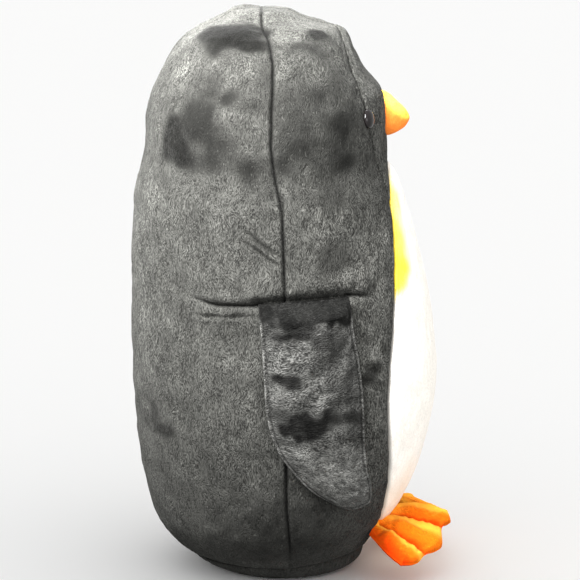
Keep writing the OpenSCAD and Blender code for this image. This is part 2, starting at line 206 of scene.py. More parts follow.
CLOTH_FRAMES = 20
CLOTH = {"quality": 5, "mass": 0.3, "tension_stiffness": 15, "compression_stiffness": 15,
         "shear_stiffness": 5, "bending_stiffness": 0.2, "vertex_group_mass": "pins", "use_pressure": True}


def simulate(points, quads, pins, pressure, stretch, cap, name):
    """Blows up a coarse closed mesh (points in mm) as pinned cloth. Returns how each point moved, in mm."""
    mesh = bpy.data.meshes.new(name)
    mesh.from_pydata((points * MM).tolist(), [], quads)
    mesh.update()
    obj = add_object(name, mesh)
    group = obj.vertex_groups.new(name="pins")
    for i, w in enumerate(pins):
        if w > 0.01:
            group.add([i], float(w), "REPLACE")
    mod = obj.modifiers.new("cloth", "CLOTH")
    for key, value in {**CLOTH, "uniform_pressure_force": pressure, "shrink_min": -stretch}.items():
        setattr(mod.settings, key, value)
    mod.settings.effector_weights.gravity = 0
    mod.collision_settings.use_collision = False
    mod.collision_settings.use_self_collision = False
    mod.point_cache.frame_start = 1
    mod.point_cache.frame_end = CLOTH_FRAMES
    scene = bpy.context.scene
    for f in range(1, CLOTH_FRAMES + 1):
        scene.frame_set(f)
    done = obj.evaluated_get(bpy.context.evaluated_depsgraph_get()).to_mesh()
    co = np.zeros(len(points) * 3, np.float32)
    done.vertices.foreach_get("co", co)
    moved = co.reshape(-1, 3) / MM - points
    bpy.data.objects.remove(obj)
    bpy.data.meshes.remove(mesh)
    scene.frame_set(1)
    far = np.linalg.norm(moved, axis=1, keepdims=True)
    return moved * np.minimum(1, cap / np.maximum(far, 1e-6))


def sample_grid(field, u, v, wrap_v=False):
    """Cubic lookup in a grid of values at fractions u of its rows and v of its columns."""
    rows, cols = field.shape[:2]
    ru = np.clip(u, 0, 1) * (rows - 1)
    rv = v * cols if wrap_v else np.clip(v, 0, 1) * (cols - 1)
    iu, iv = np.floor(ru).astype(int), np.floor(rv).astype(int)
    fu, fv = ru - iu, rv - iv

    def weights(s):
        return [0.5 * (-s + 2 * s ** 2 - s ** 3), 0.5 * (2 - 5 * s ** 2 + 3 * s ** 3),
                0.5 * (s + 4 * s ** 2 - 3 * s ** 3), 0.5 * (-s ** 2 + s ** 3)]

    wu, wv = weights(fu), weights(fv)
    out = 0
    for a in range(4):
        ia = np.clip(iu + a - 1, 0, rows - 1)
        for b in range(4):
            ib = (iv + b - 1) % cols if wrap_v else np.clip(iv + b - 1, 0, cols - 1)
            w = wu[a] * wv[b]
            out = out + w * field[ia, ib]
    return out


def grid_of(u, v):
    return np.meshgrid(u, v, indexing="ij")


def stacked(*grids):
    """The points of several grids as one list."""
    return np.vstack([g.reshape(-1, 3) for g in grids])


def add_object(name, data):
    obj = bpy.data.objects.new(name, data)
    bpy.context.scene.collection.objects.link(obj)
    return obj


def blurred(field, reach, wrap_cols):
    """Gaussian blur of a grid, reach in cells."""
    k = np.exp(-0.5 * (np.arange(-3 * reach, 3 * reach + 1) / reach) ** 2)
    k /= k.sum()
    h = len(k) // 2
    rows = np.pad(field, ((h, h), (0, 0)), "edge")
    field = sum(w * rows[i:i + field.shape[0]] for i, w in enumerate(k))
    cols = np.pad(field, ((0, 0), (h, h)), "wrap" if wrap_cols else "edge")
    return sum(w * cols[:, i:i + field.shape[1]] for i, w in enumerate(k))


# --------------- seams, slits and creases of the body

def on_right(p):
    """The points folded over onto the penguin's right side."""
    return p * np.where(p[..., :1] > 0, np.array([-1.0, 1, 1]), 1.0)


_up = np.linspace(BASE_RING, LAST - 0.02, 70)
_front = np.linspace(BASE_RING, GUSSET_RING, 50)
_round = np.linspace(-180, 180, 97)
_across = np.linspace(-1, 1, 25)


def chin_line(across):
    return CHIN_RING + CHIN_RISE * (1 - across ** 2)


SLIT = skin_at(np.linspace(157.4, 160.3, 7), -np.linspace(97, 62, 7))
_dart = curve([[156.6, -96], [156.0, -105], [155.6, -114], [157.2, -121], [160.2, -129]],
              np.linspace(0, 4, 17))
DART_REAR = skin_at(_dart[:, 0], _dart[:, 1])
DART_FRONT = skin_at([160.3, 159.6, 157.8], [-62.0, -57, -51.0])
SEAM_LINES = [
    skin(_up, -side_angle(_up)), skin(_up, side_angle(_up)), skin(_up, 180),
    skin(_front, -seam_angle(_front)), skin(_front, seam_angle(_front)),
    skin(BASE_RING, _round),
    skin(chin_line(_across), _across * seam_angle(chin_line(_across))),
]
TO_LEFT = np.array([-1, 1, 1])
CUT_LINES = [line * flip for line in (SLIT, DART_REAR, DART_FRONT) for flip in (1, TO_LEFT)]

PUFF_ROWS, PUFF_COLS = 86, 120
PUFF_LOW, PUFF_HIGH = 0.3, LAST - 0.35   # ring counts between which the body swells
puff_field = np.zeros((PUFF_ROWS, PUFF_COLS))


def closed_grid(rows, cols):
    """Quads of a grid that closes round, with one point under its first row and one over its last."""
    quads = []
    for i in range(rows - 1):
        for j in range(cols):
            k = (j + 1) % cols
            quads.append((i * cols + j, i * cols + k, (i + 1) * cols + k, (i + 1) * cols + j))
    low, last = rows * cols, (rows - 1) * cols
    for j in range(cols):
        k = (j + 1) % cols
        quads.append((low, k, j))
        quads.append((low + 1, last + j, last + k))
    return quads


def puff_body():
    """Lets the stuffed body swell between its sewn seams, and keeps the short waves that this leaves."""
    x = np.linspace(PUFF_LOW, PUFF_HIGH, PUFF_ROWS)
    phi = np.arange(PUFF_COLS) * 360 / PUFF_COLS - 180
    xx, pp = grid_of(x, phi)
    p, n = skin(xx, pp), skin_normal(xx, pp)
    seams = np.min([distance_to(p, line)[0] for line in SEAM_LINES + CUT_LINES], axis=0)
    start = p - n * (1.2 + 1.6 * bell(seams, 4))[..., None]
    start = start + n * (0.5 * noise(p, 14, 3))[..., None]
    pts = np.vstack([start.reshape(-1, 3), [[0, 0, 1.0]], [[0, 12, 298.0]]])
    pins = np.append(bell(seams, 3.5).ravel(), [1, 1])
    moved = simulate(pts, closed_grid(PUFF_ROWS, PUFF_COLS), pins, 5.0, 0.05, 6.0, "body_cloth")[:-2]
    out = ((moved.reshape(p.shape) + (start - p)) * n).sum(-1)
    return np.clip(out - blurred(out, 7, True), -2.0, 2.0)


puff_field = puff_body()


def puff(x, phi):
    return sample_grid(puff_field, (x - PUFF_LOW) / (PUFF_HIGH - PUFF_LOW), (phi + 180) / 360, wrap_v=True)


def cut_relief(p):
    """Creases that the sewn slits and darts leave, in mm."""
    q = on_right(p)
    d, _ = distance_to(q, SLIT)
    above = smooth((q[..., 2] - SLIT[:, 2].mean() + 1) / 4)
    out = -2.6 * bell(d, 2.2) + 1.0 * bell(d - 5.5, 4.0) * above
    d, t = distance_to(q, DART_REAR)
    fade = smooth((1.02 - t) / 0.5)
    out += fade * (-1.7 * bell(d, 1.0) + 0.7 * bell(d - 3.5, 2.5))
    d, t = distance_to(q, DART_FRONT)
    fade = smooth((1.05 - t) / 0.6)
    out += fade * (-1.7 * bell(d, 1.2) + 0.5 * bell(d - 3.5, 2.2))
    return out


# Folds on the flank (heights, angles, depth, width), mostly pulled from the wing's root and front edge
FOLDS = [(skin_at(z, phi), depth, width) for z, phi, depth, width in (
    ([137.0, 124.0], [-58.0, -46], 0.9, 2.6),
    ([124.0, 115.0], [-58.0, -49], 1.2, 2.2),
    ([150.0, 141.0], [-60.0, -50], 0.6, 3.0),
    ([181.0, 188.0, 198.0], [-88.5, -95.5, -106], 1.2, 1.3),
    ([175.5, 182.0, 190.0], [-88.0, -94.0, -103], 1.1, 1.2),
    ([153.0, 143.0], [-104.0, -108], 0.7, 2.6),
    ([150.6, 148.9, 149.4], [-100.0, -117, -126], 0.6, 1.0),
    ([153.0, 140.0], [-113.0, -119], 0.7, 3.0),
    ([160.0, 171.0], [-108.0, -112], 0.6, 3.0),
    ([162.0, 172.0], [-60.0, -55], 0.6, 3.0),
    ([268.0, 262.0], [-95.0, -106], 0.8, 1.6),
)]


SHARP_FOLD = 1.4


def cut_shade(p):
    """How deep in a slit, dart or sharp fold each point lies, from 0 to 1, which sets the painted shade
    there.
    """
    q = on_right(p)
    out = 0.6 * bell(distance_to(q, SLIT)[0], 1.2)
    for dart in (DART_REAR, DART_FRONT):
        d, t = distance_to(q, dart)
        out = np.maximum(out, bell(d, 0.75) * smooth((1.05 - t) / 0.6))
    for line, depth, width in FOLDS:
        if width < SHARP_FOLD:
            d, t = distance_to(q, line)
            ragged = np.clip(0.42 + 0.4 * noise(q, 4.5, 35), 0, 1)
            out = np.maximum(out, ragged * bell(d, 0.8) * smooth(t * 4 + 0.1) * smooth((1 - t) * 2.0))
    return out


def fold_relief(p):
    q = on_right(p)
    out = 0
    for line, depth, width in FOLDS:
        d, t = distance_to(q, line)
        fade = smooth(t * 4 + 0.3) * smooth((1 - t) * 2.5)
        out = out + 1.3 * depth * fade * (-bell(d, width) + 0.45 * bell(d - 2 * width, width))
    return out


def crown_relief(p):
    """A slightly flat crown, a puffed fold on its left side and a nub where the front seams end."""
    centre = np.array([0.0, 12.0])
    r = np.linalg.norm(p[..., :2] - centre, axis=-1)
    high = smooth((p[..., 2] - 262) / 25)
    out = -3.2 * bell(r - 27, 12) * high
    out += 2.2 * bell(np.linalg.norm(p - np.array([13.0, 22.0, 297]), axis=-1), 13)
    nub = np.linalg.norm(p - np.array([0.0, -28.5, 287.0]), axis=-1)
    brow = bell(p[..., 2] - 268, 8) * bell(p[..., 0], 26) * smooth(-p[..., 1] / 20)
    return out + 2.3 * bell(nub, 6.5) - 2.6 * brow


def body_relief(x, phi, p):
    """Everything that moves the body's cloth off the smooth surface, except the seams themselves, in mm."""
    slow = 0.7 * noise(p, 48, 1) + 0.12 * noise(p, 17, 2)
    slow = slow - 2.2 * smooth((17 - p[..., 2]) / 13) * np.abs(np.cos(np.radians(phi)))
    return 0.28 * puff(x, phi) + cut_relief(p) + fold_relief(p) + crown_relief(p) + slow


# --------------- meshes


def set_attribute(mesh, key, values):
    vector = np.ndim(values) == 2
    a = mesh.attributes.new(key, "FLOAT_VECTOR" if vector else "FLOAT", "POINT")
    a.data.foreach_set("vector" if vector else "value", np.asarray(values, np.float32).ravel())


def mesh_object(name, points, faces, attributes, material, smooth_below=50):
    mesh = bpy.data.meshes.new(name)
    mesh.from_pydata((points * MM * SCALE).tolist(), [], faces)
    for key, values in attributes.items():
        set_attribute(mesh, key, values)
    bm = bmesh.new()
    bm.from_mesh(mesh)
    bmesh.ops.remove_doubles(bm, verts=bm.verts, dist=2e-6)
    bmesh.ops.dissolve_degenerate(bm, edges=bm.edges, dist=1e-7)
    bmesh.ops.recalc_face_normals(bm, faces=bm.faces)
    bm.to_mesh(mesh)
    bm.free()
    mesh.shade_smooth()
    mesh.set_sharp_from_angle(angle=math.radians(smooth_below))
    obj = add_object(name, mesh)
    mesh.materials.append(material)
    return obj


def two_sided(rows, cols, closed=False):
    """Faces of a grid, and of a second grid after it in the point list that faces the other way."""
    n, faces = rows * cols, []
    for i in range(rows - 1):
        for j in range(cols if closed else cols - 1):
            k = (j + 1) % cols
            a, b, c, d = i * cols + j, i * cols + k, (i + 1) * cols + k, (i + 1) * cols + j
            faces.append((a, b, c, d))
            faces.append((n + a, n + d, n + c, n + b))
    return faces


def shell_faces(rows, cols):
    """Faces of a closed shell between an outer grid and an inner grid that follows it in the point list."""
    n = rows * cols
    faces = two_sided(rows, cols)
    for i in range(rows - 1):
        a, d = i * cols, (i + 1) * cols
        faces.append((a, d, n + d, n + a))
        b, c = a + cols - 1, d + cols - 1
        faces.append((b, n + b, n + c, c))
    for j in range(cols - 1):
        a, b = j, j + 1
        faces.append((a, n + a, n + b, b))
        d, c = (rows - 1) * cols + j, (rows - 1) * cols + j + 1
        faces.append((d, c, n + c, n + d))
    return faces


def eased(count, tight=0.6):
    """Fractions from 0 to 1 that lie closer together near both ends."""
    t = np.linspace(0, 1, count)
    return (1 - tight) * t + tight * 0.5 * (1 - np.cos(math.pi * t))


SEAM_DEPTH, SEAM_WIDTH = 1.5, 0.9
CLOTH_T = 1.6


def seam_dip(d):
    """How far the cloth dips at a distance d in mm from a seam."""
    return -SEAM_DEPTH * bell(d, SEAM_WIDTH) - 0.7 * bell(d, 5.5) + 0.25 * bell(d - 2.4, 1.2)


def nap_relief(p, away):
    """Tufts of the pile, longer down the body than across it, fading to nothing in the seams."""
    flow = p + 2.5 * noise_vector(p, 23, 5)
    tufts = (0.16 * noise(flow, (2.2, 2.2, 5.0), 8)
             + 0.12 * noise(flow, (4.5, 4.5, 8.0), 9))
    return tufts * (1 - bell(away, 1.6))


def lengths_along(p, axis):
    step = np.linalg.norm(np.diff(p, axis=axis), axis=-1)
    zero = np.zeros_like(np.take(step, [0], axis=axis))
    return np.concatenate([zero, np.cumsum(step, axis=axis)], axis=axis)


def panel(name, x, phi, seam_sides, nodes, material, nap_and_painted_light, calm=1.0):
    """One cloth panel of the body over a grid of ring counts and angles. seam_sides says which of its
    first row, last row, first column and last column are sewn."""
    p, n = skin(x, phi), skin_normal(x, phi)
    down, over = lengths_along(p, 0), lengths_along(p, 1)
    sides = [down, down[-1:] - down, over, over[:, -1:] - over]
    away = np.full(x.shape, 99.0)
    for use, d in zip(seam_sides, sides):
        if use:
            away = np.minimum(away, d)
    seam_depth = 0.35 + 0.65 * smooth((p[..., 2] - 16) / 14)
    calm = 1 - (1 - calm) * smooth(away / 12)
    lift = calm * body_relief(x, phi, p) + seam_depth * seam_dip(away) + nap_relief(p, away)
    crown = smooth((p[..., 2] - 297.5) / 2.0)
    lift = lift * (1 - crown) - 1.8 * crown
    n = unit(n * (1 - crown[..., None]) + np.array([0, 0, 1.0]) * crown[..., None])
    outer = p + n * lift[..., None]
    core = np.stack([0 * p[..., 0], 0 * p[..., 0] + 4, np.clip(p[..., 2], 60, 235)], -1)
    inner = outer + unit(core - outer) * CLOTH_T
    both = stacked(outer, inner)
    attributes = {
        "rest": both,
        "nap_and_painted_light": np.tile(nap_and_painted_light(phi, p).ravel(), 2),
        # painted shade along the seams and in the slits, darts and sharp folds
        "groove_shade": np.tile(np.maximum(seam_depth * bell(away, 1.0), cut_shade(p)).ravel(), 2),
    }
    obj = mesh_object(name, both, shell_faces(*x.shape), attributes, material)
    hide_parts(*nodes)
    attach(obj, "torso")
    return obj


# --------------- materials

MOST_LIGHT = 0.97     # no cloth gives back more than this
AGAINST_AND_SHADE, ALONG_AND_HIGHLIGHT = 0.14, 1.9   # brightness of pile that is brushed up, and of pile that lies flat; the same factors give painted shade and painted highlights


def new_material(name):
    m = bpy.data.materials.new(name)
    m.use_nodes = True
    nt = m.node_tree
    nt.nodes.clear()
    out = nt.nodes.new("ShaderNodeOutputMaterial")
    bsdf = nt.nodes.new("ShaderNodeBsdfPrincipled")
    nt.links.new(bsdf.outputs["BSDF"], out.inputs["Surface"])
    return m, nt, bsdf


def put(node, values):
    for name, value in values.items():
        node.inputs[name].default_value = value


def math_node(nt, op, a, b):
    node = nt.nodes.new("ShaderNodeMath")
    node.operation = op
    for socket, value in zip(node.inputs, (a, b)):
        if isinstance(value, (int, float)):
            socket.default_value = value
        else:
            nt.links.new(value, socket)
    return node.outputs[0]


def mix_colour(nt, factor, a, b, blend="MIX"):
    node = nt.nodes.new("ShaderNodeMix")
    node.data_type = "RGBA"
    node.blend_type = blend
    for name, kind, value in (("Factor", "VALUE", factor), ("A", "RGBA", a), ("B", "RGBA", b)):
        socket = next(s for s in node.inputs if s.name == name and s.type == kind)
        if isinstance(value, (int, float)):
            socket.default_value = value
        elif isinstance(value, tuple):
            socket.default_value = (*value, 1.0)
        else:
            nt.links.new(value, socket)
    return next(s for s in node.outputs if s.type == "RGBA")


def multiplied(nt, colour, k):
    return mix_colour(nt, 1.0, colour, (k, k, k), "MULTIPLY")


def attribute(nt, name, output="Fac"):
    node = nt.nodes.new("ShaderNodeAttribute")
    node.attribute_name = name
    return node.outputs[output]


def noise_node(nt, vector, stretch, scale, detail=2.0, rough=0.5, distortion=0.0):
    mapping = nt.nodes.new("ShaderNodeMapping")
    mapping.inputs["Scale"].default_value = stretch
    nt.links.new(vector, mapping.inputs["Vector"])
    node = nt.nodes.new("ShaderNodeTexNoise")
    put(node, {"Scale": scale, "Detail": detail, "Roughness": rough, "Distortion": distortion})
    nt.links.new(mapping.outputs["Vector"], node.inputs["Vector"])
    return node.outputs["Fac"]


def ramp(nt, value, low, high):
    node = nt.nodes.new("ShaderNodeMapRange")
    node.interpolation_type = "SMOOTHSTEP"
    put(node, {"From Min": low, "From Max": high})
    nt.links.new(value, node.inputs["Value"])
    return node.outputs["Result"]


def add_bump(nt, bsdf, height, strength, distance):
    node = nt.nodes.new("ShaderNodeBump")
    put(node, {"Strength": strength, "Distance": distance})
    nt.links.new(height, node.inputs["Height"])
    nt.links.new(node.outputs["Normal"], bsdf.inputs["Normal"])


def uneven(nt, pile, size):
    """The pile's strokes as a value round 0, which makes the edge of a patch of colour ragged."""
    return math_node(nt, "MULTIPLY", math_node(nt, "SUBTRACT", pile, 0.5), size)


def lighter(base, spread):
    return tuple(min(c * spread, MOST_LIGHT) for c in base)


def plush(name, base, spread, sheen, sheen_tint, bump, mottle, stretch=(1.0, 1.0, 0.36), extra=None):
    """Short pile: clumped strokes along the pile, brushed patches that swallow light, painted shade and
    highlights, and a soft sheen.
    spread says how much lighter and darker than base the strokes are."""
    m, nt, bsdf = new_material(name)
    rest = attribute(nt, "rest", "Vector")
    wobble = nt.nodes.new("ShaderNodeTexNoise")
    put(wobble, {"Scale": 0.07})
    nt.links.new(rest, wobble.inputs["Vector"])
    warp = nt.nodes.new("ShaderNodeVectorMath")
    warp.operation = "MULTIPLY_ADD"
    warp.inputs[1].default_value = (9, 9, 9)
    nt.links.new(wobble.outputs["Color"], warp.inputs[0])
    nt.links.new(rest, warp.inputs[2])
    where = warp.outputs[0]
    strokes = noise_node(nt, where, stretch, 2.0, 1.5, 0.55, 0.1)
    clumps = noise_node(nt, where, stretch, 0.6, 1.5, 0.5, 0.2)
    cloudy = noise_node(nt, where, (1, 1, 0.8), 0.075, 3.0, 0.62)
    pile = math_node(nt, "ADD", math_node(nt, "MULTIPLY", strokes, 0.7),
                     math_node(nt, "MULTIPLY", clumps, 0.3))
    grain = ramp(nt, pile, 0.36, 0.68)
    colour = mix_colour(nt, grain, tuple(c / spread for c in base), lighter(base, spread))
    strands = ramp(nt, noise_node(nt, where, stretch, 1.5, 0.0), 0.70, 0.78)
    colour = mix_colour(nt, math_node(nt, "MULTIPLY", strands, 0.5), colour, lighter(base, spread * 1.6))
    cloud = ramp(nt, cloudy, 0.36, 0.64)
    shade = mix_colour(nt, cloud, (1 - mottle,) * 3, (1 + mottle,) * 3)
    colour = mix_colour(nt, 1.0, colour, shade, "MULTIPLY")
    # brushed patches darken or lighten the colour, and so do the painted shade and painted highlights laid in
    # with them
    nap_and_painted_light = attribute(nt, "nap_and_painted_light")
    ragged = uneven(nt, pile, 1.7)
    against_and_shade = ramp(nt, math_node(nt, "ADD", nap_and_painted_light, ragged), 0.0, 1.0)
    colour = mix_colour(nt, against_and_shade, colour, multiplied(nt, colour, AGAINST_AND_SHADE))
    along = ramp(nt, math_node(nt, "SUBTRACT", ragged, nap_and_painted_light), 0.1, 1.0)
    colour = mix_colour(nt, along, colour, multiplied(nt, colour, ALONG_AND_HIGHLIGHT))
    # painted shade: seams, slits, darts, folds and stitched lines darken towards 0.12 of the base colour
    groove_shade = math_node(nt, "MULTIPLY", attribute(nt, "groove_shade"), 0.85)
    colour = mix_colour(nt, groove_shade, colour, tuple(0.12 * c for c in base))
    if extra is not None:
        colour = extra(nt, colour, pile)
    nt.links.new(colour, bsdf.inputs["Base Color"])
    put(bsdf, {"Roughness": 0.9, "Specular IOR Level": 0.03, "Sheen Weight": sheen, "Sheen Roughness": 0.3,
               "Sheen Tint": (*sheen_tint, 1.0)})
    add_bump(nt, bsdf, pile, bump, 0.0016)
    return m


def belly_extra(nt, colour, pile):
    yellow = attribute(nt, "yellow")
    ragged = math_node(nt, "MULTIPLY", uneven(nt, pile, 0.5), yellow)
    patch = ramp(nt, math_node(nt, "ADD", yellow, ragged), 0.0, 1.0)
    colour = mix_colour(nt, patch, colour, (0.90, 0.66, 0.05))
    # painted shade with a painted reflection of the orange feet, low on the belly
    tan = attribute(nt, "tan")
    return mix_colour(nt, math_node(nt, "MULTIPLY", tan, 0.75), colour, (0.74, 0.58, 0.38))


def painted_highlight_and_shade(shade_colour, highlight_colour):
    """Orange cloth with painted shade, redder, where "low" is set and a painted highlight, yellower, where
    "high" is.
    """
    def extra(nt, colour, pile):
        ragged = uneven(nt, pile, 1.1)
        high = math_node(nt, "ADD", attribute(nt, "high"), math_node(nt, "MULTIPLY", ragged, 0.4))
        high = ramp(nt, high, 0.0, 1.0)
        colour = mix_colour(nt, math_node(nt, "MULTIPLY", high, 0.9), colour, highlight_colour)
        low = ramp(nt, math_node(nt, "ADD", attribute(nt, "low"), ragged), 0.0, 1.0)
        return mix_colour(nt, low, colour, shade_colour)
    return extra


GREY_SHEEN = (0.80, 0.80, 0.76)
CHARCOAL = plush("plush_charcoal", (0.0285, 0.0285, 0.0262), 2.1, 0.045, GREY_SHEEN, 0.8, 0.16)
WING = plush("plush_wing", (0.036, 0.036, 0.034), 2.1, 0.03, GREY_SHEEN, 0.9, 0.3, (0.5, 1.0, 1.0))
BELLY = plush("plush_belly", (0.84, 0.81, 0.75), 1.12, 0.2, (1.0, 0.98, 0.94), 0.25, 0.03,
              extra=belly_extra)
FOOT = plush("plush_foot", (0.80, 0.155, 0.006), 1.25, 0.12, (1.0, 0.7, 0.3), 0.3, 0.08,
             extra=painted_highlight_and_shade((0.72, 0.05, 0.002), (0.92, 0.40, 0.04)))
BEAK = plush("plush_beak", (0.88, 0.30, 0.05), 1.2, 0.15, (1.0, 0.8, 0.4), 0.3, 0.05,
             extra=painted_highlight_and_shade((0.86, 0.22, 0.035), (0.96, 0.62, 0.09)))

FINE = 0.0002   # depth in m of the finest unevenness

EYE, nt, bsdf = new_material("eye_black")
put(bsdf, {"Base Color": (0.006, 0.005, 0.005, 1), "Roughness": 0.06, "Specular IOR Level": 0.4,
           "IOR": 1.38})
add_bump(nt, bsdf, noise_node(nt, attribute(nt, "rest", "Vector"), (1, 1, 1), 1.4, 3.0), 0.06, FINE)

NYLON, nt, bsdf = new_material("washer_nylon")
put(bsdf, {"Base Color": (0.78, 0.77, 0.72, 1), "Roughness": 0.5})

LABEL, nt, bsdf = new_material("label_satin")
weave = noise_node(nt, nt.nodes.new("ShaderNodeTexCoord").outputs["Object"], (2600, 2600, 900), 1.0, 1.0)
nt.links.new(mix_colour(nt, weave, (0.80, 0.80, 0.77), (0.92, 0.92, 0.90)), bsdf.inputs["Base Color"])
put(bsdf, {"Roughness": 0.45, "Sheen Weight": 0.3})
add_bump(nt, bsdf, weave, 0.3, FINE)

# --------------- body panels

# Patches where the pile was brushed the other way: (ring count, angle, half height and half width in mm,
# strength)
PATCHES = [
    (10.85, -118, 9, 20, 1.0), (10.55, -106, 7, 15, 0.9), (11.2, -98, 5, 9, 0.8), (10.75, -142, 6, 9, 0.7),
    (8.62, -138, 9, 8, 0.9), (8.3, -136, 8, 10, 0.9), (8.75, -126, 8, 8, 0.75), (9.05, -121, 7, 6, 0.7),
    (9.35, -107, 5, 6, 0.7), (9.2, -98, 4, 6, 0.4),
    (10.6, -42, 5, 8, 0.8), (10.3, -62, 4, 7, 0.45), (8.75, -52, 9, 6, 0.7), (8.4, -55, 6, 5, 0.5),
    (8.65, -74, 6, 7, 0.5), (7.6, -62, 9, 8, 0.35), (4.55, -141, 6, 10, 0.75), (4.75, -146, 5, 5, 0.6),
    (6.5, -66, 8, 10, 0.3), (5.25, -55, 5, 5, 0.6),
    (9.9, 120, 10, 12, 0.8), (8.4, 145, 8, 9, 0.7), (6.3, 100, 9, 11, 0.5), (4.2, 128, 9, 8, 0.6),
    (8.9, 60, 7, 9, 0.6),
    (3.4, -110, 7, 12, 0.35),
]


# Brushed patches of the body's pile, with painted shade and painted highlights mixed in
def body_nap_and_painted_light(phi, p):
    z, turn = p[..., 2], np.abs(phi)
    out = 0.46 * smooth((z - 205) / 25) * smooth((274 - z) / 16)
    # painted shade: darker low down on both sides, round the wing tips
    out += 0.44 * smooth((72 - z) / 30) * smooth((z - 8) / 16) * bell(turn - 88, 32)
    # painted highlight: lighter up the back
    out -= 0.4 * smooth((turn - 125) / 30) * smooth((z - 80) / 60)
    out -= 0.6 * smooth((76 - turn) / 14) * smooth((z - 50) / 20) * smooth((215 - z) / 30)
    out -= 0.55 * smooth((50 - turn) / 16) * smooth((z - 212) / 16)
    head = smooth((z - 205) / 20)
    # mottling on the head, and a painted highlight that makes the crown lighter
    out += (0.14 + 0.26 * head) * noise(p, 9, 24) - 0.75 * smooth((z - 279) / 12)
    wob = p + 4.0 * noise_vector(p, 9, 21)
    for px, pphi, tall, wide, strength in PATCHES:
        c, n = skin(px, pphi), skin_normal(px, pphi)
        side = unit(np.cross([0, 0, 1.0], n))
        up = np.cross(n, side)
        d = wob - c
        r = np.sqrt((d @ side / wide) ** 2 + (d @ up / tall) ** 2 + (d @ n / 18) ** 2)
        k = 1 - smooth((r - 0.55) / 1.0)
        out = out * (1 - k) + np.maximum(out, strength) * k
    return out


def face_nap_and_painted_light(phi, p):
    return body_nap_and_painted_light(phi, p) - 0.5


SLIT_Z, FOLD_Z = 157, 186   # heights in mm of the wing slits and of the sharp folds over them


def rows_up(count):
    """Ring counts from the base seam to the crown at even steps along the skin, closer together at the
    base seam and round the wing slits."""
    x = np.linspace(BASE_RING, LAST, 3000)
    p = skin(x, -90)
    step = np.linalg.norm(np.diff(p, axis=0), axis=1)
    z = p[1:, 2]
    weight = step * (1 + 1.8 * bell(z - SLIT_Z, 14) + 0.6 * bell(z - FOLD_Z, 12) + 2.5 * bell(z - p[0, 2], 5))
    at = np.append(0, np.cumsum(weight))
    return np.interp(np.linspace(0, at[-1], count), at, x)


def panel_grid(phi_from, phi_to, rows, cols):
    """Grids of ring counts and angles between two seams that run up the whole body."""
    v = eased(cols, 0.6)[None, :]
    x = rows_up(rows)[:, None] + 0 * v
    return x, phi_from(x) + (phi_to(x) - phi_from(x)) * v


ROWS_TALL = 350
NOT_CROWN = (True, False, True, True)   # sewn all round but for the top
for side, s in (("right", -1), ("left", 1)):
    x, phi = panel_grid(lambda x: 0 * x + 180 * s, lambda x: s * side_angle(x), ROWS_TALL, 110)
    panel("back_cloth_" + side, x, phi, NOT_CROWN, ["back_panel_" + side], CHARCOAL, body_nap_and_painted_light)
    x, phi = panel_grid(lambda x: s * side_angle(x), lambda x: s * seam_angle(x), ROWS_TALL, 78)
    panel("flank_cloth_" + side, x, phi, NOT_CROWN, ["flank_panel_" + side], CHARCOAL, body_nap_and_painted_light)


def front_grid(low_line, high_line, rows, cols):
    across = (2 * eased(cols, 0.55) - 1)[None, :]
    u = eased(rows, 0.5)[:, None]
    x = low_line(across) + (high_line(across) - low_line(across)) * u
    return x, across * seam_angle(x)


x, phi = front_grid(chin_line, lambda a: 0 * a + GUSSET_RING, 110, 60)
panel("face_cloth", x, phi, NOT_CROWN, ["face_gusset"], CHARCOAL, face_nap_and_painted_light)

x, phi = front_grid(lambda a: 0 * a + BASE_RING, chin_line, 190, 120)
belly = panel("belly_cloth", x, phi, (True,) * 4, ["belly_panel", "body_filling"], BELLY,
              lambda phi, p: 0 * phi, 0.35)


def belly_tints(obj):
    """Yellow down both sides of the chest, as soft sprayed colour, and low down painted shade that carries
    the orange of the feet reflected in it.
    """
    count = len(obj.data.vertices)
    p = np.zeros(count * 3, np.float32)
    obj.data.vertices.foreach_get("co", p)
    p = p.reshape(-1, 3) / (MM * SCALE)
    z = p[:, 2]
    edge = np.interp(z, skin(_front, 0)[:, 2], np.abs(skin(_front, -seam_angle(_front))[:, 0]))
    inset = edge - np.abs(p[:, 0])
    wave = noise(p, 13, 31) * 3 + noise(p, 6, 32) * 1.5
    reach = np.interp(z, [150, 158, 166, 178, 190, 205, 225], [4, 15, 19, 17, 17, 23, 34])
    tall = np.interp(z, [150, 159, 170, 186, 205, 225, 240], [0, 0.95, 1.05, 0.9, 0.8, 0.75, 0.55])
    yellow = tall * (1 - smooth((inset + wave) / reach))
    # painted shade with a painted reflection of the orange feet, stronger towards the bottom
    tan = 0.75 * smooth((70 - z) / 50) + 0.25 * smooth((95 - z) / 40) * smooth(noise(p, 16, 33))
    set_attribute(obj.data, "yellow", yellow)
    set_attribute(obj.data, "tan", tan)


belly_tints(belly)


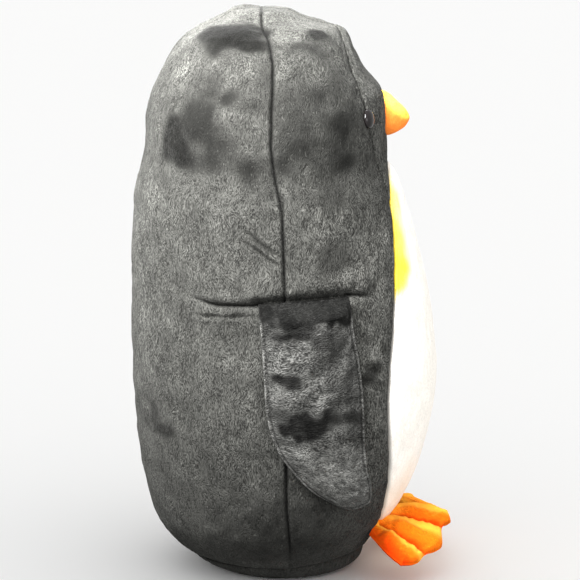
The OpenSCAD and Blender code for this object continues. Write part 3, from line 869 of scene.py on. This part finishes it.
def base_cloth():
    """The flat bottom, from its middle out to the base seam."""
    rows, cols = 36, 200
    u = eased(rows, 0.5)
    x = (BASE_RING * u)[:, None] + np.zeros(cols)
    phi = np.zeros((rows, 1)) + np.linspace(-180, 180, cols, endpoint=False)
    p, n = skin(x, phi), skin_normal(x, phi)
    away = lengths_along(p, 0)
    away = away[-1:] - away
    n = unit(n * smooth(x / 0.8)[..., None] + np.array([0, 0, -1.0]) * (1 - smooth(x / 0.8))[..., None])
    lift = (body_relief(x, phi, p) * smooth((p[..., 2] - 3) / 8) + 0.35 * seam_dip(away)
            + nap_relief(p, away) * smooth((p[..., 2] - 0.5) / 4))
    outer = p + n * lift[..., None]
    centre = np.linspace(0, 1, 16, endpoint=False)
    middle = np.concatenate([outer[:1] * np.array([k, k, 0.0]) for k in centre])
    outer = np.concatenate([middle, outer])
    outer[..., 2] = np.maximum(outer[..., 2], 0.0)
    away = np.concatenate([np.full((len(centre), cols), 99.0), away])
    inner = outer + unit(np.array([0, 4, 60.0]) - outer) * CLOTH_T
    rows = outer.shape[0]
    n_outer = rows * cols
    faces = two_sided(rows, cols, closed=True)
    for j in range(cols):
        k = (j + 1) % cols
        d, c = (rows - 1) * cols + j, (rows - 1) * cols + k
        faces.append((d, c, n_outer + c, n_outer + d))
    both = stacked(outer, inner)
    attributes = {"rest": both, "nap_and_painted_light": np.full(len(both), 0.1),
                  # painted shade along the base seam
                  "groove_shade": np.tile(0.35 * bell(away, 1.0).ravel(), 2)}
    obj = mesh_object("base_cloth", both, faces, attributes, CHARCOAL)
    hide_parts("base_panel")
    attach(obj, "torso")


base_cloth()

# --------------- stuffed pads: wings and feet

def border_distance(p):
    """Distance in mm from each grid point to the grid's first and last column and its last row."""
    over, down = lengths_along(p, 1), lengths_along(p, 0)
    return np.minimum(np.minimum(over, over[:, -1:] - over), down[-1:] - down)


def swell(base, out, lift, hold, pressure, stretch, cap, name):
    """Simulates a coarse pad whose two faces are lifted by the given heights. Returns how far each rose."""
    faces = [base + out * lift[k][..., None] * (1, -1)[k] for k in (0, 1)]
    rows, cols = base.shape[:2]
    index = np.arange(rows * cols).reshape(rows, cols)
    other = index + rows * cols
    other[0], other[-1], other[:, 0], other[:, -1] = index[0], index[-1], index[:, 0], index[:, -1]
    quads = np.append(index, other)[np.array(two_sided(rows, cols))]
    pts = stacked(*faces)
    used = np.unique(quads)
    pins = np.tile(hold.ravel(), 2)[used]
    moved = simulate(pts[used], np.searchsorted(used, quads).tolist(), pins, pressure, stretch, cap, name)
    full = np.zeros_like(pts)
    full[used] = moved
    top, under = full[:rows * cols].reshape(base.shape), full[rows * cols:].reshape(base.shape)
    return (top * out).sum(-1), -(under * out).sum(-1)


WING_ROWS = np.array([
    [157.4, 96.7, 159.7, 61.9],
    [143.0, 95.8, 145.4, 62.8],
    [121.6, 95.3, 125.4, 61.6],
    [103.2, 94.9, 106.7, 60.9],
    [87.6, 92.6, 87.5, 60.1],
    [74.7, 87.8, 70.5, 58.1],
    [60.9, 79.4, 59.6, 55.2],
    [51.1, 68.6, 50.4, 54.7],
], float)
WING_OUT, WING_IN = 5.2, 2.5


def wing_base(a, b):
    """Middle surface of the right wing and its outward direction: a rear to front, b root to tip."""
    e = curve(WING_ROWS, b * (len(WING_ROWS) - 1))
    z = e[..., 0] + (e[..., 2] - e[..., 0]) * a - 2.6 * np.sin(math.pi * a) * smooth((b - 0.8) / 0.2)
    phi = -(e[..., 1] + (e[..., 3] - e[..., 1]) * a)
    x = ring_at(z)
    p, n = skin(x, phi), skin_normal(x, phi)
    stand = -1.6 + 5.6 * smooth((b + 0.03) / 0.13) + 2.6 * smooth((b - 0.5) / 0.5)
    return p + n * stand[..., None], n


def wing_heights(b, d):
    """Outer and inner height of the pad before it swells, with the seam allowance as a thin rim."""
    rim = 0.75 * smooth(d / 0.7)
    body = smooth((d - 1.6) / 11) ** 0.75
    full = 1 - 0.25 * smooth((b - 0.75) / 0.25)
    root = 0.35 + 0.65 * smooth((b + 0.02) / 0.16)
    return rim + body * (WING_OUT - 0.75) * full * root, rim + body * (WING_IN - 0.75) * full * root


def edge_groove(d):
    """The stitched line just inside a pad's edge."""
    return -0.5 * bell(d - 1.7, 0.6)


def wing_fields():
    rows, cols = 34, 16
    b, a = grid_of(np.linspace(0, 1, rows), np.linspace(0, 1, cols))
    base, out = wing_base(a, b)
    d = border_distance(base)
    top, under = wing_heights(b, d)
    top, under = 0.8 * top, 0.8 * under
    hold = np.maximum(bell(d, 1.5), bell(b * 110, 8))
    return swell(base, out, (top, under), hold, 6.0, 0.06, 3.0, "wing_cloth")


wing_top_field = wing_under_field = np.zeros((34, 16))
wing_top_field, wing_under_field = wing_fields()


def pad_parts(base, out, top, under, d, attributes):
    """Points, faces and point attributes of a pad whose two sides meet where the distance d is 0."""
    top, under = np.where(d < 1e-6, 0, top), np.where(d < 1e-6, 0, under)
    points = stacked(base + out * top[..., None], base - out * under[..., None])
    both = {k: np.concatenate([v.reshape(-1, *v.shape[2:])] * 2) for k, v in attributes.items()}
    return points, two_sided(*base.shape[:2]), both


# [distance from the root in mm, place from rear to front, half height in mm, half width, strength]
WING_BLOTCHES = [
    (2, 0.5, 10, 0.9, 1.5), (7, 0.75, 7, 0.38, 0.9), (11, 0.45, 7, 0.55, 0.35), (18, 0.38, 4.5, 0.26, 0.8),
    (22, 0.76, 5, 0.2, 0.4), (26, 0.2, 5.5, 0.3, -0.35), (36, 0.24, 5, 0.16, 0.9), (38, 0.82, 4, 0.2, 0.35),
    (43, 0.45, 6, 0.35, -0.15),
    (55, 0.36, 6, 0.27, 1.1), (53, 0.82, 4.5, 0.22, 0.6), (48, 0.08, 5, 0.12, 0.4),
]


def wing(side):
    rows, cols = 190, 84
    v, u = eased(rows, 0.35), eased(cols, 0.7)
    b, a = grid_of(v, u)
    base, out = wing_base(a, b)
    d = border_distance(base)
    top, under = wing_heights(b, d)
    free = smooth(d / 3)
    seed = 40 if side == "right" else 60
    top = top + free * 0.5 * sample_grid(wing_top_field, b, a)
    under = under + free * 0.4 * np.minimum(sample_grid(wing_under_field, b, a), 1.2)
    # puckers square to the edges, strongest low on the front edge
    along = b * 112
    front, rear = smooth(1 - (1 - a) * 5), smooth(1 - a * 5)
    gather = (0.35 + 0.9 * bell(b - 0.78, 0.16)) * front + 0.3 * rear
    ripple = noise(np.stack([along, 0 * a, a * 9], -1), (4.2, 9, 9), seed)
    top = top + free * gather * 0.7 * ripple * bell(d - 3.5, 5)
    grain = np.stack([a * 46, 0 * a, along], -1)
    tufts = (0.20 * noise(grain, (3.2, 9, 2.3), seed + 1)
             + 0.13 * noise(grain, (1.7, 9, 1.7), seed + 2)
             + 0.30 * noise(grain, (12, 9, 7), seed + 3))
    top = top + tufts * smooth((d - 1) / 3)
    top, under = top + edge_groove(d) * smooth(b / 0.05), under + 0.5 * edge_groove(d)
    sway = 0.7 * noise(np.stack([along, 0 * a, 0 * a], -1), (15, 9, 9), seed + 4)
    base = base + out * (sway * smooth((b - 0.3) / 0.2))[..., None]
    # dark blotches where the pile lies the other way, and light ones where it lies flat
    jig = np.stack([noise(grain, 7, seed + 5) * 3.5 + 2 * noise(grain, 3, seed + 6),
                    (noise(grain, 8, seed + 7) * 4 + 2 * noise(grain, 3, seed + 8)) / 46], -1)
    t, w = along + jig[..., 0], a + jig[..., 1]
    nap_and_painted_light = np.zeros(a.shape)
    for at, across, tall, wide, strength in WING_BLOTCHES:
        r = np.sqrt(((t - at) / tall) ** 2 + ((w - across) / wide) ** 2)
        nap_and_painted_light += strength * (1 - smooth((r - 0.45) / 0.9))
    # painted highlight: the lower tip lighter, and a light rim along every edge
    nap_and_painted_light -= 1.0 * smooth((t - 62) / 8) + 0.7 * bell(d, 1.1)
    points, faces, attributes = pad_parts(base, out, top, under, d, {
        # painted shade in the stitched line just inside the edge
        "rest": grain, "nap_and_painted_light": np.clip(nap_and_painted_light, -1, 1), "groove_shade": 0.65 * bell(d - 1.9, 0.6) * smooth(b / 0.05)})
    flip = TO_LEFT if side == "left" else 1
    points = points * flip
    obj = mesh_object("wing_" + side, points, faces, attributes, WING)
    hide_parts("wing_outer_" + side, "wing_inner_" + side, "wing_filling_" + side)
    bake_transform(obj)


for side in ("right", "left"):
    wing(side)

FOOT_INNER = np.array([-13, -62.3, 36.1])
FOOT_ROOT = unit(np.array([-27, 14.7, -11.6]))
FOOT_UP = unit(np.array([-0.497, -0.266, 0.826]))
FOOT_TOE = -np.cross(FOOT_ROOT, FOOT_UP)
FOOT_W = 33.0
FOOT_TIPS = [[-10, 24], [-4.3, 28.6], [2.7, 26.6], [15.5, 32.3], [26.6, 27.6], [34.8, 26.6], [41.5, 20.5]]
FOOT_LOWER, FOOT_DROOP = 4.0, 12.0
FOOT_FOLD = 1.9


def foot_local(a, b):
    tip = curve(FOOT_TIPS, a * 6)
    root = np.stack([FOOT_W * a + 5.5 * (1 - a), -3.0 + 0 * a], -1)
    bulge = (-3.0 + 4.5 * a) * np.sin(math.pi * b) * np.abs(2 * a - 1) ** 2
    p = root + (tip - root) * b[..., None]
    p[..., 0] += bulge
    return p


def foot_base(a, b):
    p = foot_local(a, b)
    sag = -1.2 * smooth((0.35 - b) / 0.35)
    base = (FOOT_INNER + p[..., :1] * FOOT_ROOT + p[..., 1:] * FOOT_TOE) + FOOT_UP * sag[..., None]
    return base, np.broadcast_to(FOOT_UP, base.shape)


def toe_valley(a, b):
    """Distance in mm from the stitched lines between the toes."""
    width = FOOT_W + 15 * b
    return np.minimum(np.abs(a - 1 / 3), np.abs(a - 2 / 3)) * width


def foot_heights(a, b, d):
    v = toe_valley(a, b)
    rim = 0.6 * smooth(d / 0.6)
    body = np.sqrt(np.clip(1 - (1 - np.clip((d - 0.5) / 7.5, 0, 1)) ** 2, 0, 1))
    toe = 1 - 0.72 * np.exp(-(v / 2.8) ** 1.4) * smooth(b / 0.08)
    root = 0.6 + 0.4 * smooth((b - 0.05) / 0.3)
    inner = 0.72 + 0.28 * smooth(a / 0.25)
    return rim + body * toe * root * inner * 4.4, rim + body * toe * root * 3.6


def foot_fields():
    rows, cols = 18, 37
    b, a = grid_of(np.linspace(0, 1, rows), np.linspace(0, 1, cols))
    base, out = foot_base(a, b)
    d = border_distance(base)
    top, under = foot_heights(a, b, d)
    stitch = 0.95 * bell(toe_valley(a, b), 1.0) * smooth((b - 0.1) / 0.1)
    hold = np.maximum(np.maximum(bell(d, 0.8), bell(b * 32, 5)), stitch)
    return swell(base, out, (0.85 * top, 0.85 * under), hold, 6.0, 0.05, 2.0, "foot_cloth")


foot_top_field = foot_under_field = np.zeros((18, 37))
foot_top_field, foot_under_field = foot_fields()


def turned(points, centre, axis, degrees):
    t = math.radians(degrees)
    q = points - centre
    return (centre + q * math.cos(t) + np.cross(axis, q) * math.sin(t)
            + (q @ axis)[..., None] * axis * (1 - math.cos(t)))


def foot(side):
    rows, cols = 100, 150
    # columns crowd round the two stitched lines and the edges
    knots = np.concatenate([eased(cols // 3 + 1, 0.75) / 3 + k / 3 for k in range(3)])
    b, a = grid_of(eased(rows, 0.5), np.unique(np.round(knots, 9)))
    base, out = foot_base(a, b)
    d = border_distance(base)
    top, under = foot_heights(a, b, d)
    free = smooth(d / 2.5)
    seed = 80 if side == "right" else 95
    top = top + free * sample_grid(foot_top_field, b, a)
    under = under + free * sample_grid(foot_under_field, b, a)
    v = toe_valley(a, b)
    stitched = smooth((b - 0.02) / 0.05)
    top = top - 1.1 * bell(v, 0.7) * stitched * smooth(d / 1.5)
    under = under - 0.8 * bell(v, 0.7) * stitched * smooth(d / 1.5)
    local = foot_local(a, b)
    grain = np.stack([local[..., 0], 0 * a, local[..., 1]], -1)
    tufts = 0.10 * noise(grain, (1.8, 9, 3.0), seed) + 0.16 * noise(grain, 6, seed + 1)
    top, under = top + tufts * smooth((d - 0.8) / 2), under + tufts * smooth((d - 0.8) / 2)
    # painted shade, redder, on the outer toe, on one side of each toe and in the stitched lines; painted
    # highlight, yellower, along a ridge of each toe and near the root of the inner toes
    toe = np.mod(3 * a, 1.0)
    outer = smooth((a - 0.72) / 0.26)
    low = 0.75 * outer * (1 - 0.4 * b) + 0.5 * smooth((toe - 0.55) / 0.45) * smooth((b - 0.2) / 0.5)
    low = np.clip(np.clip(low, 0, 1) + 0.35 * bell(v, 1.2) * stitched, 0, 1)
    high = (bell(toe - 0.22, 0.2) * (1 - 0.45 * smooth(b - 0.75))
            + 0.6 * smooth(1 - 2 * b) * smooth(3 * (0.75 - a)))
    # painted shade in the stitched lines between the toes and just inside the edge at the tips
    groove_shade = 0.75 * bell(v, 0.45) * stitched + 0.35 * bell(d - 0.4, 0.4) * smooth((b - 0.7) / 0.2)
    points, faces, attributes = pad_parts(base, out, top, under, d, {
        "rest": grain, "nap_and_painted_light": 0 * a, "groove_shade": np.clip(groove_shade, 0, 1), "low": low,
        "high": np.clip(high, 0, 1)})
    fold = FOOT_INNER + FOOT_TOE * FOOT_FOLD
    middle = fold + FOOT_ROOT * FOOT_W / 2
    start, end = middle - FOOT_TOE * 3.5, middle + FOOT_TOE * 4.5
    if side == "left":
        lower = np.array([0, 0, FOOT_LOWER])
        points, start, end = [(turned(q, fold, FOOT_ROOT, -FOOT_DROOP) - lower) * TO_LEFT
                              for q in (points, start, end)]
    obj = mesh_object("foot_" + side, points, faces, attributes, FOOT)
    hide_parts("foot_top_" + side, "foot_sole_" + side, "foot_filling_" + side, "toe_thread_" + side)
    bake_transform(obj)


for side in ("right", "left"):
    foot(side)

# --------------- beak, eyes, label, inside pieces

BEAK_Z, BEAK_W, BEAK_H, BEAK_LEN, BEAK_DROP = 243.5, 27.0, 25.0, 12.5, 3.0


def face_y(xx, z):
    r = ring(ring_at(z))
    return r[..., 2] - r[..., 3] * np.sqrt(np.maximum(1 - (xx / r[..., 5]) ** 2, 0))


def beak():
    rows, cols = 70, 120
    u = np.linspace(0, 1, rows)
    along = (u ** 0.8)[:, None] + np.zeros(cols)
    t = np.zeros((rows, 1)) + np.linspace(0, 2 * math.pi, cols, endpoint=False)
    taper = np.maximum(1 - along ** 1.45, 0) ** 0.62
    root_x, root_z = BEAK_W / 2 * np.cos(t), BEAK_Z + BEAK_H / 2 * np.sin(t)
    root_y = face_y(root_x, root_z) + 1.5
    tip_y = face_y(np.array(0.0), np.array(BEAK_Z)) - BEAK_LEN
    pts = np.stack([BEAK_W / 2 * taper * np.cos(t), root_y + (tip_y - root_y) * along,
                    BEAK_Z + BEAK_H / 2 * taper * np.sin(t) - BEAK_DROP * along], -1)
    centre = np.array([0, pts[0, :, 1].mean(), BEAK_Z])
    out = unit(pts - centre - np.array([0, 1.0, 0]) * 2)
    pinch = bell(along, 0.10)
    lift = 0.5 * noise(pts, 6, 110) + 0.12 * noise(pts, (1.6, 3, 1.6), 111) - 0.9 * pinch
    tip = smooth((along - 0.9) / 0.1)
    pts = pts + out * (lift * (1 - tip))[..., None]
    back = pts[0] + np.array([0, 3.0, 0])
    middle = np.array([0, back[:, 1].mean(), BEAK_Z])
    inner = np.concatenate([[back * (1 - k) + middle * k] for k in (0.0, 0.5, 0.9)])
    grid = np.concatenate([inner[::-1], pts])
    n_rows = grid.shape[0]
    points = np.vstack([grid.reshape(-1, 3), [grid[0].mean(0)], [grid[-1].mean(0)]])
    # painted highlight, yellower, over the top and towards the tip; painted shade, redder, underneath and
    # near the root
    slope = 0.95 * np.sin(t) + 1.0 * along - 0.68
    low = np.concatenate([np.zeros((3, cols)), smooth(0.5 - slope * 1.3)])
    high = np.concatenate([np.zeros((3, cols)), smooth(0.45 + slope * 1.3)])
    # painted shade round the root, where the beak meets the face, and on the hidden rows inside
    groove_shade = np.concatenate([np.ones((3, cols)), 0.8 * bell(along, 0.05)])
    attributes = {"rest": points, "nap_and_painted_light": np.zeros(len(points)),
                  "groove_shade": np.append(groove_shade.ravel(), [1, 0]), "low": np.append(0.8 * low.ravel(), [0, 0]),
                  "high": np.append(high.ravel(), [0, 0])}
    obj = mesh_object("beak", points, closed_grid(n_rows, cols), attributes, BEAK)
    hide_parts("beak_shell", "beak_filling")
    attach(obj, "torso")


beak()

EYE_RING, EYE_ANGLE, EYE_D = 8.82, 31.9, 10.0


def eye(side):
    """Glossy dome with a low rim, on its post."""
    s = -1 if side == "right" else 1
    centre, out = skin(EYE_RING, s * EYE_ANGLE), skin_normal(EYE_RING, s * (EYE_ANGLE - 7))
    over = unit(np.cross([0, 0, 1.0], out))
    up = np.cross(out, over)
    r = EYE_D / 2
    turn = np.linspace(0, math.pi / 2, 24)
    radii = np.concatenate([[1.5, 1.5, r * 0.96, r], r * np.cos(turn[1:-1])])
    heights = np.concatenate([[-12.0, -0.9, -0.9, -0.3], 0.5 * r * np.sin(turn[1:-1])])
    cols = 72
    t = np.linspace(0, 2 * math.pi, cols, endpoint=False)
    circle = np.cos(t)[:, None] * over + np.sin(t)[:, None] * up
    grid = centre - out * 0.5 + radii[:, None, None] * circle + heights[:, None, None] * out
    points = np.vstack([grid.reshape(-1, 3), [centre + out * -12.5], [centre + out * (0.5 * r - 0.5)]])
    obj = mesh_object("eye_dome_" + side, points, closed_grid(len(radii), cols), {"rest": points}, EYE, 40)
    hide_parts("eye_" + side)
    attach(obj, "torso")
    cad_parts["eye_washer_" + side].data.materials.clear()
    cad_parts["eye_washer_" + side].data.materials.append(NYLON)


for side in ("right", "left"):
    eye(side)


def label():
    """A blank satin ribbon folded over in the left back seam."""
    rows, cols = 60, 24
    b, a = grid_of(np.linspace(0, 1, rows), np.linspace(-1, 1, cols))
    z = 48 - 30 * b
    x = ring_at(z)
    phi = 95.5 + a * 7.9
    p, n = skin(x, phi), skin_normal(x, phi)
    curl = 0.9 + 0.7 * b ** 2 * (0.5 + 0.5 * noise(np.stack([a * 12, 0 * a, z], -1), 14, 120))
    outer = p + n * (curl + 0.5)[..., None]
    inner = p + n * curl[..., None]
    points = stacked(outer, inner)
    obj = mesh_object("care_label_ribbon", points, shell_faces(rows, cols), {}, LABEL)
    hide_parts("care_label")
    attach(obj, "torso")


label()

# --------------- floor, light and camera

FLOOR, nt, bsdf = new_material("pale_floor")
put(bsdf, {"Base Color": (0.93, 0.93, 0.925, 1), "Roughness": 0.9})
mesh = bpy.data.meshes.new("floor")
mesh.from_pydata([(-6, -6, 0), (6, -6, 0), (6, 6, 0), (-6, 6, 0)], [], [(0, 1, 2, 3)])
mesh.materials.append(FLOOR)
floor = add_object("floor", mesh)

unlit = bpy.data.collections.new("not_lit_by_softboxes")
unlit.objects.link(floor)
unlit.collection_objects[0].light_linking.link_state = "EXCLUDE"


def aim_at(obj, place, target):
    obj.location = place
    obj.rotation_mode = "QUATERNION"
    obj.rotation_quaternion = (Vector(target) - Vector(place)).to_track_quat("-Z", "Y")


def area_light(name, place, target, size, watts):
    """Soft light for the toy alone, so that the pale floor stays even and throws no glare back."""
    data = bpy.data.lights.new(name, "AREA")
    data.shape = "DISK"
    data.size = size
    data.energy = watts
    obj = add_object(name, data)
    obj.visible_camera = False
    obj.light_linking.receiver_collection = unlit
    aim_at(obj, place, target)


area_light("key", (-0.25, 0.16, 0.47), (-0.02, 0.03, 0.2), 0.3, 14.5)
area_light("front", (-0.9, -0.5, 0.3), (0, 0, 0.13), 0.6, 4)
area_light("far", (0.35, 0.1, 0.5), (0, 0, 0.15), 0.4, 9)

scene = bpy.context.scene
world = bpy.data.worlds.new("studio")
world.use_nodes = True
put(world.node_tree.nodes["Background"], {"Color": (1, 1, 1, 1), "Strength": 1.03})
scene.world = world
scene.view_settings.view_transform = "Standard"

IMAGE_SIDE = 580
DOTS_PER_MM = 1.886    # of the toy, in an image of that side
AWAY, TILT = 1.5, math.radians(12)
cam = bpy.data.cameras.new("camera")
cam.sensor_width = 36
cam.lens = cam.sensor_width * DOTS_PER_MM * (AWAY / MM) / math.cos(TILT) / IMAGE_SIDE
cam.clip_start, cam.clip_end = 0.05, 30
cam_obj = add_object("camera", cam)
aim_at(cam_obj, (-AWAY, -0.003, 0.150 + AWAY * math.tan(TILT)), (0, -0.003, 0.148))
scene.camera = cam_obj
